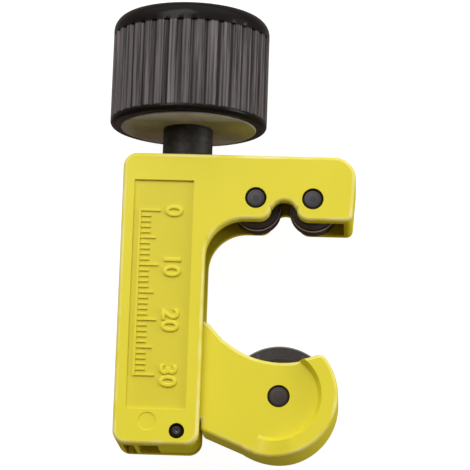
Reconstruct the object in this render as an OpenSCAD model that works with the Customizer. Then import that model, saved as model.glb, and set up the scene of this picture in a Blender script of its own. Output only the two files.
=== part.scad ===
// Mini tube cutter: a channel frame with two grooved rollers in its arm and a sliding jaw
// that carries the cutting wheel. A captive feed screw with a ribbed knob moves the jaw.
// Millimetres. X points to the throat side, Y to the knob, Z to the marked face.
// The construction is drawn around the screw axis (X and Z zero) with Y zero on the frame's
// top face, then moved so that the origin is below the middle of the whole tool.

/* [Frame] */
// from the screw axis to the column's closed left face
col_left = 11;  // [9.9:0.1:13]
// from the screw axis to the column's open right face
col_right = 4.3;  // [4:0.05:5]
// height of the column, from the top face to the foot
frame_h = 53;  // [46:0.5:62]
// front to back thickness of the frame
frame_t = 14.6;  // [13.8:0.1:18]
// thickness of the front and back walls
wall_t = 2.2;  // [1.4:0.1:2.6]
// height of the arm
arm_h = 11.85;  // [10:0.05:13]
// thickness of the top wall over the rollers
arm_top = 3.1;  // [1.5:0.1:3.3]
// thickness of the arm's end wall
arm_end = 2;  // [1.2:0.1:2.4]
// free space between the right roller and the arm's end wall
arm_room = 1.3;  // [0.3:0.1:4]
// how far the arm's end leans in towards its lower edge
arm_draft = 0.4;  // [0:0.1:1]
// thickness of the top wall that carries the feed screw
head_t = 5.5;  // [4:0.1:6.2]
// thickness of the column's left wall
side_t = 1.8;  // [1:0.1:2.4]
// thickness of the guide rib inside the column
rib_t = 0.7;  // [0.5:0.1:1.2]
// from the screw axis to the guide rib's sliding face
rib_x = 6.6;  // [5.5:0.1:7]
// radius of the inner corner between column and arm
throat_r = 7;  // [4:0.1:8]
// radius of the arm's outer top corner
arm_corner_r = 3.9;  // [1:0.1:5]
// radius of the arm's outer lower corner
arm_heel_r = 1.2;  // [0.4:0.1:1.6]
// radius of the column's outer corners
col_corner_r = 2.4;  // [1:0.1:2.6]
// half width of the notch between the rollers, at its arch
notch_r = 2.3;  // [1.5:0.1:2.6]
// height of the notch's arch above the arm's lower edge
notch_h = 3.6;  // [2.4:0.1:4]
// radius of the rounded corners where the notch meets the lower edge
notch_flare = 2.2;  // [0.5:0.1:2.4]
// width of the sunk panel on the front face
panel_w = 10.7;  // [6:0.1:11]
// from the foot to the panel's lower edge
panel_foot = 6.3;  // [5:0.1:20]
// depth of the sunk panel
panel_d = 0.5;  // [0.2:0.05:0.8]
// from the screw axis to the panel's right edge
panel_right = 1.85;  // [0.5:0.05:3]
// from the top face to the panel's upper edge
panel_top = 5;  // [3:0.1:6]

/* [Rollers] */
// distance between the two roller axes
roller_gap = 10.25;  // [9.6:0.05:12]
// outer radius of a roller
roller_r = 4.35;  // [3.4:0.05:4.5]
// free space between the rollers and the top wall
roller_room = 0.4;  // [0.2:0.05:0.8]
// width of the groove around a roller
groove_w = 1.9;  // [1.2:0.1:3]
// depth of the groove around a roller
groove_d = 1.1;  // [0.6:0.05:1.4]
// diameter of a roller pin
roller_pin_d = 3.86;  // [2.4:0.02:4]
// from the screw axis to the middle between the rollers and to the wheel axis
cut_x = 18.2;  // [17.5:0.1:19]

/* [Jaw] */
// height of the jaw's carriage in the column
carriage_h = 17.9;  // [16:0.1:20]
// radius of the jaw's round outer end
jaw_r = 11.1;  // [11:0.1:12]
// from the wheel axis back to the centre of the round end
jaw_back = 0.5;  // [0:0.1:0.8]
// from the carriage's top edge down to the wheel axis
wheel_drop = 13.25;  // [12.8:0.05:13.8]
// width of the raised rim around the jaw's outer end
rim_w = 2.9;  // [1.5:0.1:3.5]
// height of the raised rim above the cheek
rim_h = 1.95;  // [0.6:0.05:2.1]
// width of the wheel slot between the cheeks
slot_w = 5.4;  // [4.6:0.1:5.8]
// radius of the saddle that lies along a large tube
saddle_r = 16;  // [14:0.1:18]
// from the carriage's top edge down to the lowest point of the saddle
saddle_drop = 7.15;  // [6.8:0.05:7.8]

/* [Wheel] */
// radius of the cutting wheel
wheel_r = 9.85;  // [8.5:0.05:10]
// thickness of the wheel's flat web
web_t = 1.7;  // [1:0.1:2.4]
// radius at which the cutting bevel starts
bevel_r = 7.4;  // [6:0.1:8.4]
// radius of the wheel's hub
hub_r = 4.2;  // [3.2:0.1:5]
// diameter of the wheel axle
axle_d = 4;  // [3:0.02:4.4]
// thickness of the washers beside the wheel
wheel_washer_t = 0.5;  // [0.3:0.05:0.7]

/* [Feed screw] */
// outer diameter of the thread
thread_d = 5.9;  // [5:0.1:6.2]
// depth of the thread
thread_depth = 0.72;  // [0.4:0.02:0.8]
// least distance from the thread's end up to the carriage's underside
thread_short = 2;  // [1:0.1:8]
// distance between thread ridges
pitch = 1.5;  // [1.2:0.05:1.55]
// diameter of the collar between knob and frame
collar_d = 9.1;  // [8:0.1:10]
// height of the collar, from the frame to the knob
collar_h = 6.2;  // [3:0.05:8]
// thickness of the retaining clip
clip_t = 0.6;  // [0.4:0.05:0.8]

/* [Knob] */
// radius of the knob
knob_r = 14.35;  // [13:0.05:16]
// height of the knob's shell
knob_h = 20.6;  // [16:0.1:24]
// radius of the disc that closes the knob's underside
disc_r = 12.4;  // [11:0.05:12.8]
// how far the disc stands below the shell
disc_out = 0.25;  // [0.2:0.05:1]
// number of grip ribs around the knob
rib_count = 36;  // [24:1:42]
// height of the grooved band
grip_h = 15.9;  // [8:0.1:16.2]
// height of the smooth band under the ribs
skirt_h = 1.0;  // [0.6:0.1:2]
// radius of the grooves between the ribs
grip_groove_r = 0.62;  // [0.3:0.02:0.7]

/* [Foot] */
// height of the stop block at the foot
stop_h = 4.3;  // [3.6:0.1:4.8]
// diameter of the cross pin through the stop block
stop_pin_d = 2.74;  // [1.6:0.02:2.8]
// from the screw axis left to the stop block's inner face
stop_left = 3.2;  // [2.4:0.1:4]

/* [Hidden] */
$fn = 96;
eps = 0.01;
over = 5;

// running clearances and fixed fits
side_gap = 0.15;
guide_gap = 0.1;
fit_gap = 0.02;
run_gap = 0.05;
bore_gap = 0.1;
end_gap = 0.2;
wheel_gap = 0.25;
stop_gap = 0.1;
hub_gap = 0.1;
clip_gap = 0.1;
rest_gap = 0.4;

// rollers and the arm's reach
roller_y = arm_top + roller_room + roller_r;
roller_left_x = cut_x - roller_gap / 2;
roller_right_x = cut_x + roller_gap / 2;
arm_slot_right = roller_right_x + roller_r + arm_room;
arm_reach = arm_slot_right + arm_end;
arm_heel_x = arm_reach - arm_draft - arm_heel_r;
arm_heel_steps = 8;

// frame
chan = frame_t / 2 - wall_t;
rib_left = rib_x + rib_t;
core_left = col_left - side_t;
foot_r = col_corner_r;
throat_x = col_right + throat_r;
throat_y = arm_h + throat_r;
pin_recess = 0.25;
pin_half = frame_t / 2 - pin_recess;
pin_chamfer = 0.4;
washer_t = 0.5;
washer_seat = 0.45;
mark_r = 1.6;
mark_depth = 0.15;
mark_x = 4.9;
mark_gap = 0.6;
mark_y = frame_h - panel_foot + mark_gap + mark_r;
panel_h = frame_h - panel_top - panel_foot;
stop_lift = 0.2;
stop_foot = frame_h - stop_lift;
stop_pin_shift = 0.15;
stop_pin_share = 0.535;
stop_pin_x = (col_right - stop_left) / 2 - stop_pin_shift;
stop_pin_y = stop_foot - stop_h * stop_pin_share;

// width and bore of a roller
roller_half = chan - end_gap;
roller_bore_r = roller_pin_d / 2 + run_gap;
roller_edge = 0.3;
roller_seat_r = roller_pin_d / 2 + fit_gap;

// jaw at rest, fully open
jaw_foot = stop_foot - stop_h - rest_gap;
jaw_top = jaw_foot - carriage_h;
wheel_y = jaw_top + wheel_drop;
saddle_y = jaw_top + saddle_drop;
jaw_half = chan - side_gap;
rim_half = jaw_half + rim_h;
jaw_left = rib_x - guide_gap;
jaw_cx = cut_x - jaw_back;
jaw_out_x = col_right + end_gap;
neck_out = 0.85;
neck_round = 0.45;
neck_x = jaw_out_x + neck_out;
neck_y = jaw_top + neck_round;
knee_share = 0.248;
knee_drop = 3.25;
knee_x = jaw_out_x + (cut_x - jaw_out_x) * knee_share;
knee_y = jaw_top + knee_drop;
shoulder_share = 0.511;
shoulder_drop = 5.6;
shoulder_x = jaw_out_x + (cut_x - jaw_out_x) * shoulder_share;
shoulder_y = jaw_top + shoulder_drop;
heel_drop = 1.8;
heel_y = jaw_foot + heel_drop;
heel_slope = 25;
heel_in = 0.15;
heel_x = jaw_cx - (jaw_r - heel_in) * sin(heel_slope);
heel_end_y = wheel_y + (jaw_r - heel_in) * cos(heel_slope);
tip_drop = 5.85;
tip_out = 1.8;
tip_y = jaw_top + tip_drop;
tip_left = cut_x + tip_out;
slot_half = slot_w / 2;
slot_r = wheel_r + wheel_gap;
rim_r = jaw_r - rim_w;
rim_draft = 0.7;
rim_slope = heel_slope - 3;
saddle_shift = 0.3;
saddle_cx = cut_x + saddle_shift;
screw_bore_r = thread_d / 2 + bore_gap;

// wheel
hub_half = slot_half - wheel_washer_t - hub_gap;
web_half = web_t / 2;
edge_half = 0.05;
wheel_bore_r = axle_d / 2 + run_gap;
axle_seat_r = axle_d / 2 + fit_gap;
axle_recess = 0.2;
axle_out = 1.1;
axle_groove_d = 0.5;
axle_front = jaw_half - axle_recess;
axle_back = jaw_half + axle_out;
axle_groove_r = axle_d / 2 - axle_groove_d;
axle_clip_z = jaw_half + clip_gap;
wheel_washer_r = 3.6;

// feed screw
screw_r = thread_d / 2;
screw_root = screw_r - thread_depth;
head_bore_r = screw_r + run_gap;
washer_top = washer_t - washer_seat;
collar_foot = washer_top + run_gap;
clip_y = head_t + run_gap;
clip_groove_d = 0.55;
clip_groove_r = screw_r - clip_groove_d;
clip_share = 1.6;
clip_r = screw_r * clip_share;
clip_seat = 0.03;
clip_land = 0.6;
thread_start = clip_y + clip_t + clip_land;
thread_count = floor((jaw_foot - thread_short - thread_start) / pitch);
thread_foot = thread_start + thread_count * pitch;
spigot_r = 3.5;
spigot_len = 12;
spigot_top = collar_h + spigot_len;
flute_count = 12;
flute_r = 0.45;

// knob
shell_foot = collar_h + disc_out;
knob_top = shell_foot + knob_h;
top_round = 2.8;
disc_t = 1.4;
core_r = 6;
core_cap = 2;
core_top = spigot_top + core_cap;
shell_in = 11.4;
roof_t = 2.6;
tube_r = 8;
skirt_round = 0.8;
groove_start = shell_foot + skirt_h;

// place of the construction under the whole tool's box
mid_x = (arm_reach - knob_r) / 2;
mid_y = (knob_top - wheel_y - jaw_r) / 2;

// paint and materials
yellow = [0.84, 0.79, 0.2];
black = [0.12, 0.11, 0.11];
steel = [0.3, 0.3, 0.31];
bright = [0.55, 0.55, 0.56];

module place() translate([-mid_x, -mid_y, knob_r]) children();

// turns a solid drawn along Z so that it stands along the screw axis
module upright() rotate([-90, 0, 0]) children();

// a slab of the outline, from one height to another in Z
module slab(z0, z1) translate([0, 0, z0]) linear_extrude(height = z1 - z0) children();

// a straight pin with chamfered ends, along Z
module pin(r, z0, z1, chamfer) {
  rotate_extrude()
    polygon([
      [0, z0], [r - chamfer, z0], [r, z0 + chamfer],
      [r, z1 - chamfer], [r - chamfer, z1], [0, z1]]);
}

// a flat ring along Z
module ring(r_out, r_in, z0, z1) {
  rotate_extrude()
    polygon([[r_in, z0], [r_out, z0], [r_out, z1], [r_in, z1]]);
}

// a rectangle given by two opposite corners
module block2(x0, y0, x1, y1) translate([x0, y0]) square([x1 - x0, y1 - y0]);

// an open retaining clip seen from above: a ring with a mouth and two relief notches
module clip2(r_out, r_in, mouth) {
  difference() {
    circle(r = r_out);
    circle(r = r_in);
    block2(-mouth / 2, 0, mouth / 2, r_out * 2);
    translate([r_in, 0]) circle(r = (r_out - r_in) / 3);
    translate([-r_in, 0]) circle(r = (r_out - r_in) / 3);
    translate([0, -r_in]) circle(r = (r_out - r_in) / 3);
  }
}

// the frame's side outline with its rounded corners
module frame_outline() {
  r1 = col_corner_r;
  r2 = arm_corner_r;
  union() {
    translate([-col_left + r1, -r1]) circle(r = r1);
    translate([arm_reach - r2, -r2]) circle(r = r2);
    translate([-col_left + foot_r, -frame_h + foot_r]) circle(r = foot_r);
    translate([col_right - foot_r, -frame_h + foot_r]) circle(r = foot_r);
    block2(-col_left + r1, -r2, arm_reach - r2, 0);
    block2(-col_left, -frame_h + foot_r, col_right, -r1);
    block2(-col_left + foot_r, -frame_h, col_right - foot_r, -frame_h + foot_r + eps);
    block2(-col_left, -arm_h, arm_reach, -r2);
    difference() {
      block2(col_right - eps, -throat_y, throat_x, -arm_h + eps);
      translate([throat_x, -throat_y]) circle(r = throat_r);
    }
  }
}

// what the arm's end loses to its lean and to the rounded lower corner
module arm_trim() polygon(concat(
  [[arm_reach + over, -arm_corner_r], [arm_reach, -arm_corner_r]],
  [for (i = [0 : arm_heel_steps])
    let (a = 90 * i / arm_heel_steps)
    [arm_heel_x + arm_heel_r * cos(a), -arm_h + arm_heel_r * (1 - sin(a))]],
  [[arm_heel_x, -arm_h - over], [arm_reach + over, -arm_h - over]]));

// the notch in both walls between the rollers, arched above and flared below
module notch() {
  r = notch_r;
  f = notch_flare;
  top = -arm_h + notch_h;
  translate([cut_x, top - r]) circle(r = r);
  block2(cut_x - r, -arm_h - over, cut_x + r, top - r);
  difference() {
    block2(cut_x - r - f, -arm_h - over, cut_x + r + f, -arm_h + f);
    translate([cut_x - r - f, -arm_h + f]) circle(r = f);
    translate([cut_x + r + f, -arm_h + f]) circle(r = f);
    block2(cut_x - r - f - over, -arm_h, cut_x - r - f, -arm_h + f + over);
  }
}

// the hollow that the jaw and the rollers run in, and the cored pocket left of the rib
module hollow() {
  block2(-rib_x, -frame_h - over, col_right + over, -head_t);
  block2(-core_left, -frame_h - over, -rib_left, -head_t);
  block2(col_right, -throat_y - over, arm_slot_right, -arm_top);
}

module frame() color(yellow) place() difference() {
  slab(-frame_t / 2, frame_t / 2) frame_outline();
  slab(-frame_t, frame_t) arm_trim();
  slab(-chan, chan) hollow();
  slab(-frame_t, frame_t) notch();
  // sunk panel and the round tooling mark below it
  slab(frame_t / 2 - panel_d, frame_t)
    block2(panel_right - panel_w, -panel_top - panel_h, panel_right, -panel_top);
  translate([-mark_x, -mark_y, frame_t / 2 - mark_depth])
    cylinder(r = mark_r, h = over);
  // bore of the feed screw with the seat of its washer
  translate([0, -head_t - over, 0])
    upright() cylinder(r = head_bore_r, h = head_t + over * 2);
  translate([0, -washer_seat, 0])
    upright() cylinder(r = collar_d / 2, h = over);
  // room for the screw's clip where the walls are close
  translate([0, -clip_y - clip_t - clip_gap, 0])
    upright() cylinder(r = clip_r + clip_gap, h = clip_t + clip_gap);
  // roller pin and stop pin holes
  for (x = [roller_left_x, roller_right_x])
    translate([x, -roller_y, -frame_t]) cylinder(r = roller_seat_r, h = frame_t * 2);
  translate([stop_pin_x, -stop_pin_y, -frame_t])
    cylinder(r = stop_pin_d / 2 + fit_gap, h = frame_t * 2);
}

module end_stop() color(yellow) place() difference() {
  slab(-chan + fit_gap, chan - fit_gap) difference() {
    block2(-stop_left, -stop_foot, col_right - stop_gap, -stop_foot + stop_h);
    translate([col_right - stop_gap - foot_r, -stop_foot]) difference() {
      block2(0, -eps, foot_r + eps, foot_r);
      translate([0, foot_r]) circle(r = foot_r);
    }
  }
  translate([stop_pin_x, -stop_pin_y, -frame_t])
    cylinder(r = stop_pin_d / 2 + fit_gap, h = frame_t * 2);
}

module end_stop_pin() color(black) place()
  translate([stop_pin_x, -stop_pin_y, 0])
    pin(stop_pin_d / 2, -pin_half, pin_half, stop_pin_d / 5);

// the jaw's side outline: carriage, neck, round end, tip and saddle
module jaw_outline() {
  difference() {
    union() {
      polygon([
        [-jaw_left, -jaw_top], [jaw_out_x, -jaw_top], [neck_x, -neck_y],
        [knee_x, -knee_y], [shoulder_x, -shoulder_y], [jaw_cx, -saddle_y],
        [jaw_cx, -wheel_y], [heel_x, -heel_end_y], [jaw_out_x, -heel_y],
        [jaw_out_x, -jaw_foot], [-jaw_left, -jaw_foot]]);
      translate([jaw_cx, -wheel_y]) circle(r = jaw_r);
    }
    translate([saddle_cx, -saddle_y + saddle_r]) circle(r = saddle_r);
    block2(tip_left, -tip_y, arm_reach + over, -jaw_top);
  }
}

// the raised rim around the round end, with a slanting inner wall; it starts square to the
// edge, just past the heel's straight part, and ends at the tip
module rim() difference() {
  slab(-rim_half, rim_half) difference() {
    jaw_outline();
    polygon([
      [jaw_cx, -wheel_y], [jaw_cx, 0], [-col_left, 0],
      [-col_left, -wheel_y - jaw_r * 2],
      [jaw_cx - jaw_r * 2 * sin(rim_slope), -wheel_y - jaw_r * 2 * cos(rim_slope)]]);
  }
  for (side = [0, 1])
    mirror([0, 0, side])
      translate([jaw_cx, -wheel_y, jaw_half])
        cylinder(r1 = rim_r - rim_draft, r2 = rim_r, h = rim_h + eps);
}

module slide() color(yellow) place() difference() {
  union() {
    slab(-jaw_half, jaw_half) jaw_outline();
    rim();
  }
  // slot of the wheel, open along the saddle
  slab(-slot_half, slot_half) {
    translate([cut_x, -wheel_y]) circle(r = slot_r);
    block2(cut_x - slot_r * 0.72, -wheel_y, cut_x + slot_r * 0.72, -jaw_top);
  }
  // hole of the wheel axle and bore of the feed screw
  translate([cut_x, -wheel_y, -frame_t]) cylinder(r = axle_seat_r, h = frame_t * 2);
  translate([0, -frame_h, 0]) upright() cylinder(r = screw_bore_r, h = frame_h);
}

module cutter_wheel() color(steel) place()
  translate([cut_x, -wheel_y, 0]) rotate_extrude()
    polygon([
      [wheel_bore_r, -hub_half], [hub_r, -hub_half], [hub_r, -web_half],
      [bevel_r, -web_half], [wheel_r, -edge_half], [wheel_r, edge_half],
      [bevel_r, web_half], [hub_r, web_half], [hub_r, hub_half],
      [wheel_bore_r, hub_half]]);

module wheel_axle() color(black) place() translate([cut_x, -wheel_y, 0])
  difference() {
    pin(axle_d / 2, -axle_back, axle_front, pin_chamfer);
    ring(axle_d, axle_groove_r, -axle_clip_z - clip_t, -axle_clip_z);
  }

module wheel_axle_clip() color(steel) place()
  translate([cut_x, -wheel_y, 0])
    slab(-axle_clip_z - clip_t + clip_seat, -axle_clip_z - clip_seat)
      clip2(axle_d * 0.92, axle_groove_r + fit_gap, axle_groove_r * 1.5);

module wheel_washer(side) translate([cut_x, -wheel_y, 0])
  ring(wheel_washer_r, axle_d / 2 + run_gap,
    side > 0 ? slot_half - wheel_washer_t - clip_seat : -slot_half + clip_seat,
    side > 0 ? slot_half - clip_seat : -slot_half + wheel_washer_t + clip_seat);

module wheel_washer_front() color(bright) place() wheel_washer(1);

module wheel_washer_back() color(bright) place() wheel_washer(-1);

// from the knob down: fluted spigot, collar, journal, clip groove and ridged thread
module feed_screw() color(black) place() upright() difference() {
  rotate_extrude()
    polygon(concat(
      [[0, spigot_top], [spigot_r - pin_chamfer, spigot_top],
       [spigot_r, spigot_top - pin_chamfer], [spigot_r, collar_h],
       [collar_d / 2, collar_h], [collar_d / 2, collar_foot], [screw_r, collar_foot],
       [screw_r, -clip_y], [clip_groove_r, -clip_y], [clip_groove_r, -clip_y - clip_t],
       [screw_r, -clip_y - clip_t], [screw_r, -thread_start]],
      [for (i = [0 : thread_count - 1], k = [0 : 3])
        [k < 2 ? screw_root : screw_r,
         -thread_start - (i + (k + 1) / 4) * pitch]],
      [[screw_r - thread_depth, -thread_foot - pin_chamfer],
       [0, -thread_foot - pin_chamfer]]));
  for (i = [0 : flute_count - 1])
    rotate([0, 0, i * 360 / flute_count])
      translate([spigot_r, 0, collar_h + disc_t])
        cylinder(r = flute_r, h = spigot_top);
}

module thrust_washer() color(bright) place() upright()
  ring(collar_d / 2 - run_gap, screw_r + run_gap, -washer_seat, washer_top);

module screw_clip() color(steel) place() upright()
  translate([0, 0, -clip_y - clip_t + clip_seat])
    linear_extrude(height = clip_t - clip_seat * 2)
      clip2(clip_r, clip_groove_r + fit_gap, clip_groove_r * 1.5);

// the ribbed shell: a round cap with a hollow inside and a tube that grips the core
module knob_grip() color(black) place() upright() difference() {
  rotate_extrude() difference() {
    union() {
      block2(0, shell_foot + skirt_round, knob_r, knob_top - top_round);
      block2(0, shell_foot, knob_r - skirt_round, shell_foot + skirt_round + eps);
      block2(0, knob_top - top_round - eps, knob_r - top_round, knob_top);
      translate([knob_r - top_round, knob_top - top_round]) circle(r = top_round);
      translate([knob_r - skirt_round, shell_foot + skirt_round])
        circle(r = skirt_round);
    }
    block2(-knob_r, 0, 0, knob_top + over);
    block2(-over, 0, disc_r + fit_gap, collar_h + disc_t + fit_gap);
    block2(-over, 0, core_r + fit_gap, core_top + run_gap);
    block2(tube_r, 0, shell_in, knob_top - roof_t);
  }
  for (i = [0 : rib_count - 1])
    rotate([0, 0, (i + 0.5) * 360 / rib_count])
      translate([knob_r + grip_groove_r * 0.15, 0, groove_start])
        cylinder(r = grip_groove_r, h = grip_h);
}

// the flanged core inside the shell, pressed on the fluted spigot
module knob_core() color(black) place() upright() difference() {
  rotate_extrude()
    polygon([
      [spigot_r + fit_gap, collar_h], [disc_r, collar_h],
      [disc_r, collar_h + disc_t], [core_r, collar_h + disc_t],
      [core_r, core_top], [0, core_top], [0, spigot_top + fit_gap],
      [spigot_r + fit_gap, spigot_top + fit_gap]]);
}

module roller(x) translate([x, -roller_y, 0]) rotate_extrude()
  polygon([
    [roller_bore_r, -roller_half], [roller_r - roller_edge, -roller_half],
    [roller_r, -roller_half + roller_edge], [roller_r, -groove_w / 2],
    [roller_r - groove_d, -groove_w / 2 + groove_d / 4],
    [roller_r - groove_d, groove_w / 2 - groove_d / 4], [roller_r, groove_w / 2],
    [roller_r, roller_half - roller_edge], [roller_r - roller_edge, roller_half],
    [roller_bore_r, roller_half]]);

module roller_left() color(steel) place() roller(roller_left_x);

module roller_right() color(steel) place() roller(roller_right_x);

module roller_pin(x) translate([x, -roller_y, 0])
  pin(roller_pin_d / 2, -pin_half, pin_half, pin_chamfer);

module roller_pin_left() color(steel) place() roller_pin(roller_left_x);

module roller_pin_right() color(steel) place() roller_pin(roller_right_x);

frame();
end_stop();
end_stop_pin();
slide();
cutter_wheel();
wheel_axle();
wheel_axle_clip();
wheel_washer_front();
wheel_washer_back();
feed_screw();
thrust_washer();
screw_clip();
knob_grip();
knob_core();
roller_left();
roller_right();
roller_pin_left();
roller_pin_right();
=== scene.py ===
"""Mini tube cutter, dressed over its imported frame. Metres, +Y to the knob, +Z out of the front."""
import math

import bmesh
import bpy
from mathutils import Matrix, Vector


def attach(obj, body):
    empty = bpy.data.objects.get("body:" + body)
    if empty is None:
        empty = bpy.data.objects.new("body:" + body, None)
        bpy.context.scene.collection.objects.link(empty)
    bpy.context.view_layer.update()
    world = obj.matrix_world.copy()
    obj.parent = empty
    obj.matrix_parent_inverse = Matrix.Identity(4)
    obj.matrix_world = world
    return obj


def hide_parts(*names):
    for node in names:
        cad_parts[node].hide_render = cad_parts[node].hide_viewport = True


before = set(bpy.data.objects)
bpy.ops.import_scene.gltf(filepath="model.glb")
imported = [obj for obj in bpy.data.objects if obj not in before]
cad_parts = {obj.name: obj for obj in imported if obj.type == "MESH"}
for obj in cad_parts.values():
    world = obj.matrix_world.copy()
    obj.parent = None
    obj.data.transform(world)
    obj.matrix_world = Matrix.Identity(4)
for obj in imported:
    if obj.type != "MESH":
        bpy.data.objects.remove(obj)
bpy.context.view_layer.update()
mm = 0.001

# Frame: one pressure casting, column and arm, coated bright yellow. Its outer edges are
# rounded by the die and the coating, and the front face has a sunk panel. The roundings
# are painted a paler cream, a painted highlight, and the panel's floor a darker yellow,
# painted shade.
coat_yellow = (0.745, 0.675, 0.034, 1)
coat_deep = (0.725, 0.655, 0.030, 1)
# The sunk panel's floor is painted darker than the rest: painted shade.
coat_sunk_painted_shade = (0.685, 0.612, 0.034, 1)
coat_sunk_deep_painted_shade = (0.665, 0.594, 0.030, 1)
# Paler cream for the roundings: a painted highlight.
coat_edge_painted_highlight = (0.81, 0.755, 0.24, 1)
cast_edge = 0.65 * mm
cast_small_edge = 0.2 * mm
panel_edge = 0.16 * mm
cast_sharp = math.radians(35)
same_point = 0.0005 * mm
slack = 0.05 * mm
frame_half = 7.3 * mm
panel_depth = 0.5 * mm
full_wall = 1.8 * mm
low_wall = 0.8 * mm
hole_reach = 2.3 * mm
screw_axis = Vector((-8.3125, 13.75, 14.35)) * mm
roller_spots = {"left": Vector((13.075, -7.85, 0)) * mm, "right": Vector((23.325, -7.85, 0)) * mm}
foot_pin_spot = Vector((0.4, -50.5, 0)) * mm


def with_values(node, sockets):
    """The node, with plain values in the inputs that are named."""
    for name, value in sockets.items():
        node.inputs[name.replace("_", " ")].default_value = value
    return node


def node_at(tree, kind, x, y, operation=None, **sockets):
    """A shader node of the given kind, with its plain input values. A mix is one of colours."""
    made = tree.nodes.new("ShaderNode" + kind)
    made.location = (x, y)
    if kind == "Mix":
        made.data_type = "RGBA"
    if operation:
        made.operation = operation
    return with_values(made, sockets)


def group_at(tree, group, x, y, **sockets):
    """A node group placed in a material, with the material's own values."""
    made = node_at(tree, "Group", x, y)
    made.node_tree = group
    return with_values(made, sockets)


def wire(tree, *links):
    """Links, each from a node's output to a node's input, both by name or number."""
    for source, output, target, entry in links:
        tree.links.new(source.outputs[output], target.inputs[entry])


def group_sockets(group, inputs, outputs):
    """Named inputs and outputs of a shader node group."""
    for name, kind, value in inputs:
        made = group.interface.new_socket(name, in_out="INPUT", socket_type=kind)
        if value is not None:
            made.default_value = value
    for name, kind in outputs:
        group.interface.new_socket(name, in_out="OUTPUT", socket_type=kind)
    return group.nodes.new("NodeGroupInput"), group.nodes.new("NodeGroupOutput")


def make_mottle_group():
    """Slow drift between two colours, with a fine grain for height and roughness."""
    group = bpy.data.node_groups.new("surface_mottle", "ShaderNodeTree")
    into, out = group_sockets(
        group,
        [
            ("Vector", "NodeSocketVector", None),
            ("Colour", "NodeSocketColor", (1, 1, 1, 1)),
            ("Second colour", "NodeSocketColor", (1, 1, 1, 1)),
            ("Drift scale", "NodeSocketFloat", 60.0),
            ("Grain scale", "NodeSocketFloat", 1500.0),
            ("Roughness low", "NodeSocketFloat", 0.35),
            ("Roughness high", "NodeSocketFloat", 0.5),
        ],
        [
            ("Colour", "NodeSocketColor"),
            ("Roughness", "NodeSocketFloat"),
            ("Height", "NodeSocketFloat"),
        ],
    )
    drift = node_at(group, "TexNoise", -600, 200, Detail=3.0)
    grain = node_at(group, "TexNoise", -600, -200, Detail=4.0, Roughness=0.6)
    spread = node_at(group, "MapRange", -400, 200, From_Min=0.35, From_Max=0.65)
    tint = node_at(group, "Mix", -200, 200)
    shine = node_at(group, "MapRange", -200, -200)
    wire(
        group,
        (into, "Vector", drift, "Vector"),
        (into, "Vector", grain, "Vector"),
        (into, "Drift scale", drift, "Scale"),
        (into, "Grain scale", grain, "Scale"),
        (drift, "Fac", spread, "Value"),
        (spread, "Result", tint, "Factor"),
        (into, "Colour", tint, "A"),
        (into, "Second colour", tint, "B"),
        (grain, "Fac", shine, "Value"),
        (into, "Roughness low", shine, "To Min"),
        (into, "Roughness high", shine, "To Max"),
        (tint, "Result", out, "Colour"),
        (shine, "Result", out, "Roughness"),
        (grain, "Fac", out, "Height"),
    )
    return group


def make_edge_group():
    """A second colour laid in patches over the rounded edges: wear, and on the knob's ribs a painted
    highlight.
    """
    group = bpy.data.node_groups.new("edge_wear_and_highlight", "ShaderNodeTree")
    into, out = group_sockets(
        group,
        [
            ("Colour", "NodeSocketColor", (1, 1, 1, 1)),
            ("Edge colour", "NodeSocketColor", (1, 1, 1, 1)),
            ("Amount", "NodeSocketFloat", 0.5),
            ("Breakup scale", "NodeSocketFloat", 400.0),
        ],
        [("Colour", "NodeSocketColor")],
    )
    where = node_at(group, "TexCoord", -800, 0)
    shape = node_at(group, "NewGeometry", -800, -200)
    ridge = node_at(group, "MapRange", -500, -200, From_Min=0.51, From_Max=0.6)
    speckle = node_at(group, "TexNoise", -500, 100, Detail=5.0)
    patchy = node_at(group, "MapRange", -300, 100, From_Min=0.4, From_Max=0.6)
    both = node_at(group, "Math", -100, 0, "MULTIPLY")
    share = node_at(group, "Math", 100, 0, "MULTIPLY")
    tint = node_at(group, "Mix", 300, 0)
    wire(
        group,
        (where, "Object", speckle, "Vector"),
        (into, "Breakup scale", speckle, "Scale"),
        (shape, "Pointiness", ridge, "Value"),
        (speckle, "Fac", patchy, "Value"),
        (ridge, "Result", both, 0),
        (patchy, "Result", both, 1),
        (both, "Value", share, 0),
        (into, "Amount", share, 1),
        (share, "Value", tint, "Factor"),
        (into, "Colour", tint, "A"),
        (into, "Edge colour", tint, "B"),
        (tint, "Result", out, "Colour"),
    )
    return group


surface_mottle = make_mottle_group()
edge_wear_and_highlight = make_edge_group()


def new_material(name):
    """A material, its node tree and its shader."""
    made = bpy.data.materials.new(name)
    made.use_nodes = True
    return made, made.node_tree, made.node_tree.nodes["Principled BSDF"]


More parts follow.
